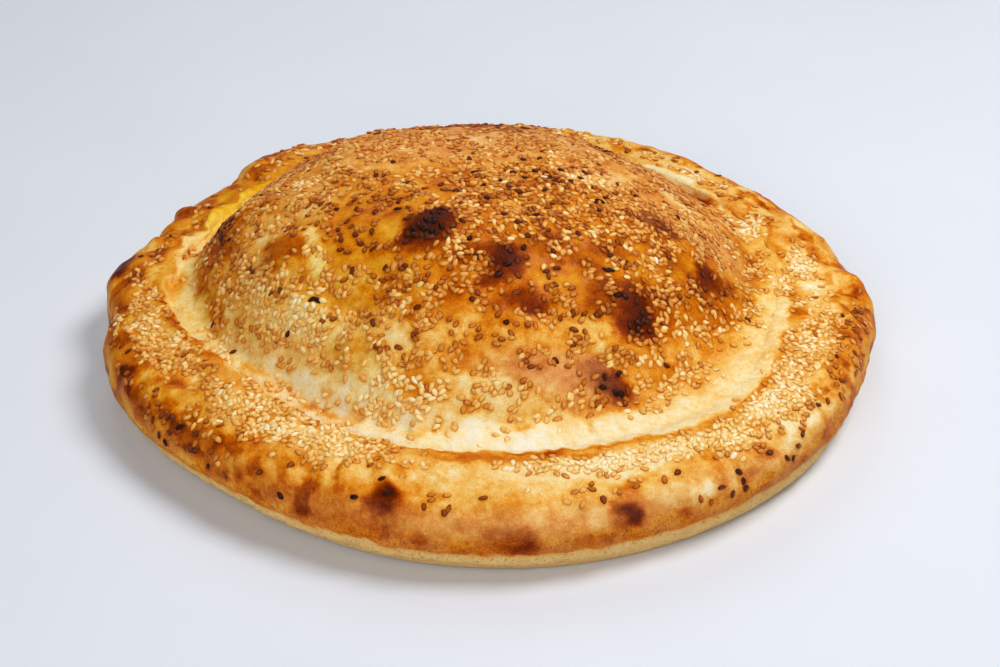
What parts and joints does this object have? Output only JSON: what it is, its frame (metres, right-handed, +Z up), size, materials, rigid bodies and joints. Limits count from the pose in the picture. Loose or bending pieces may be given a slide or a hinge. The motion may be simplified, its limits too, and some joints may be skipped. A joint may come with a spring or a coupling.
{
  "type": "calzone",
  "caption": "Round baked calzone with a thick rolled rim round a domed browned middle, sesame seeds fused to the crust; rests on its flat underside.",
  "frame": {"origin": "middle of the bounding box, on the flat underside", "axes": "+Z up, -Y is the front that the picture shows, +X to the picture's right"},
  "size_m": [0.2891, 0.2858, 0.0745],
  "materials": {
    "baked_crust": "baked bread crust, golden to dark brown, satin egg wash",
    "sesame_seed": "sesame seeds, pale to toasted brown"
  },
  "bodies": {
    "root": {"calzone": "baked_crust"}
  },
  "joints": []
}
